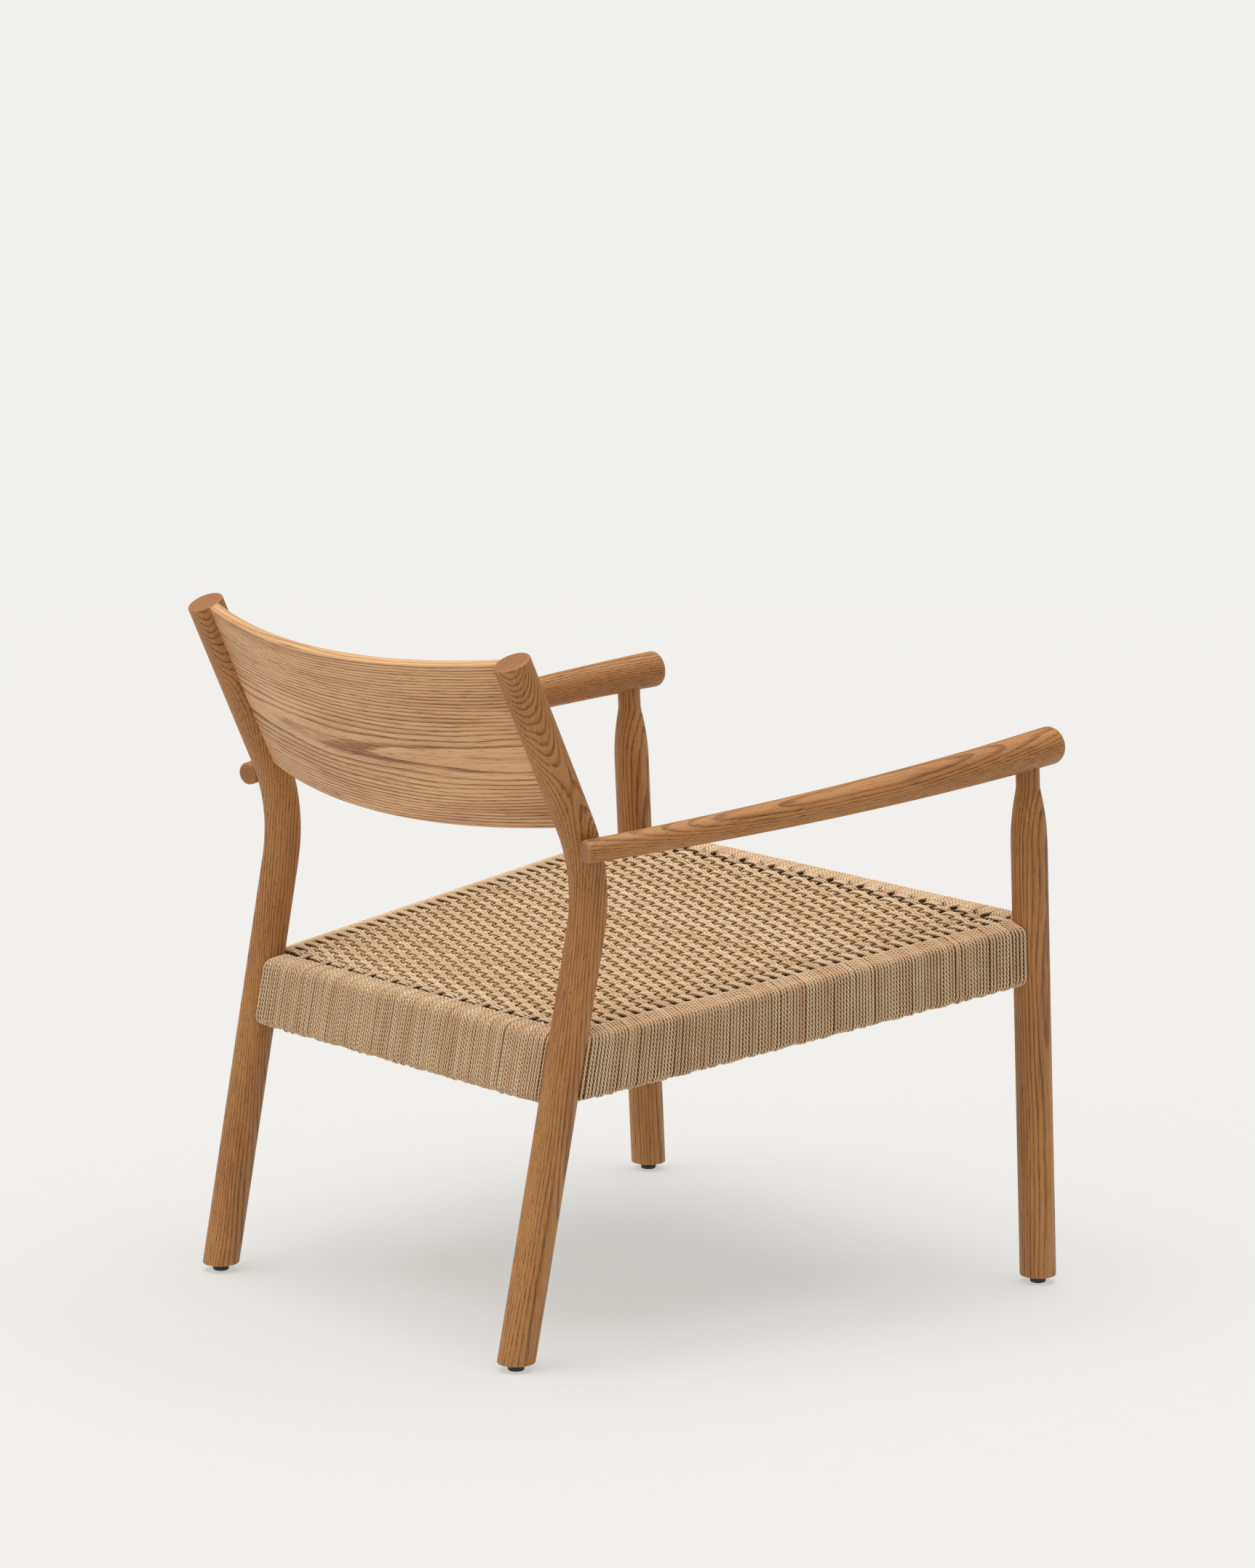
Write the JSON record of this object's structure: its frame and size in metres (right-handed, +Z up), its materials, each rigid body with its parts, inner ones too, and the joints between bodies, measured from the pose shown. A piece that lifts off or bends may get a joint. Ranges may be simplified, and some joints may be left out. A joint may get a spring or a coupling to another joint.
{
  "type": "lounge armchair",
  "caption": "Low wooden lounge armchair with round legs and bowed arms, a bent backrest panel and a sloping seat woven from paper cord.",
  "frame": {"origin": "on the floor, in the middle of the chair's bounding box", "axes": "+Z up, the chair faces -Y, its left side is +X"},
  "size_m": [0.7362, 0.7376, 0.7546],
  "materials": {
    "oak": "oiled solid oak, open grain along each member, satin",
    "panel_oak": "oiled oak, horizontal grain with dark pores, satin",
    "rail_wood": "plain unfinished hardwood, hidden under the cord",
    "dowel_wood": "plain beech, glued",
    "paper_cord": "natural twisted paper cord, matt",
    "glide_plastic": "black moulded plastic"
  },
  "bodies": {
    "root": {"rear_leg_left": "oak", "rear_leg_right": "oak", "front_leg_left": "oak", "front_leg_right": "oak", "armrest_left": "oak", "armrest_right": "oak", "backrest_panel": "panel_oak", "seat_rail_back": "rail_wood", "seat_rail_front": "rail_wood", "seat_rail_left": "rail_wood", "seat_rail_right": "rail_wood", "cord_wrap_back": "paper_cord", "cord_wrap_front": "paper_cord", "cord_wrap_left": "paper_cord", "cord_wrap_right": "paper_cord", "seat_weave": "paper_cord", "dowel_back_rail_to_rear_right_leg_lower": "dowel_wood", "dowel_back_rail_to_rear_right_leg_upper": "dowel_wood", "dowel_back_rail_to_rear_left_leg_lower": "dowel_wood", "dowel_back_rail_to_rear_left_leg_upper": "dowel_wood", "dowel_front_rail_to_front_left_leg_lower": "dowel_wood", "dowel_front_rail_to_front_left_leg_upper": "dowel_wood", "dowel_front_rail_to_front_right_leg_lower": "dowel_wood", "dowel_front_rail_to_front_right_leg_upper": "dowel_wood", "dowel_left_rail_to_rear_left_leg_lower": "dowel_wood", "dowel_left_rail_to_rear_left_leg_upper": "dowel_wood", "dowel_left_rail_to_front_left_leg_lower": "dowel_wood", "dowel_left_rail_to_front_left_leg_upper": "dowel_wood", "dowel_right_rail_to_front_right_leg_lower": "dowel_wood", "dowel_right_rail_to_front_right_leg_upper": "dowel_wood", "dowel_right_rail_to_rear_right_leg_lower": "dowel_wood", "dowel_right_rail_to_rear_right_leg_upper": "dowel_wood", "dowel_backrest_left_lower": "dowel_wood", "dowel_backrest_left_upper": "dowel_wood", "dowel_backrest_right_lower": "dowel_wood", "dowel_backrest_right_upper": "dowel_wood", "dowel_armrest_left_rear": "dowel_wood", "dowel_armrest_left_front": "dowel_wood", "dowel_armrest_right_rear": "dowel_wood", "dowel_armrest_right_front": "dowel_wood", "glide_rear_left": "glide_plastic", "glide_rear_right": "glide_plastic", "glide_front_left": "glide_plastic", "glide_front_right": "glide_plastic"}
  },
  "joints": []
}
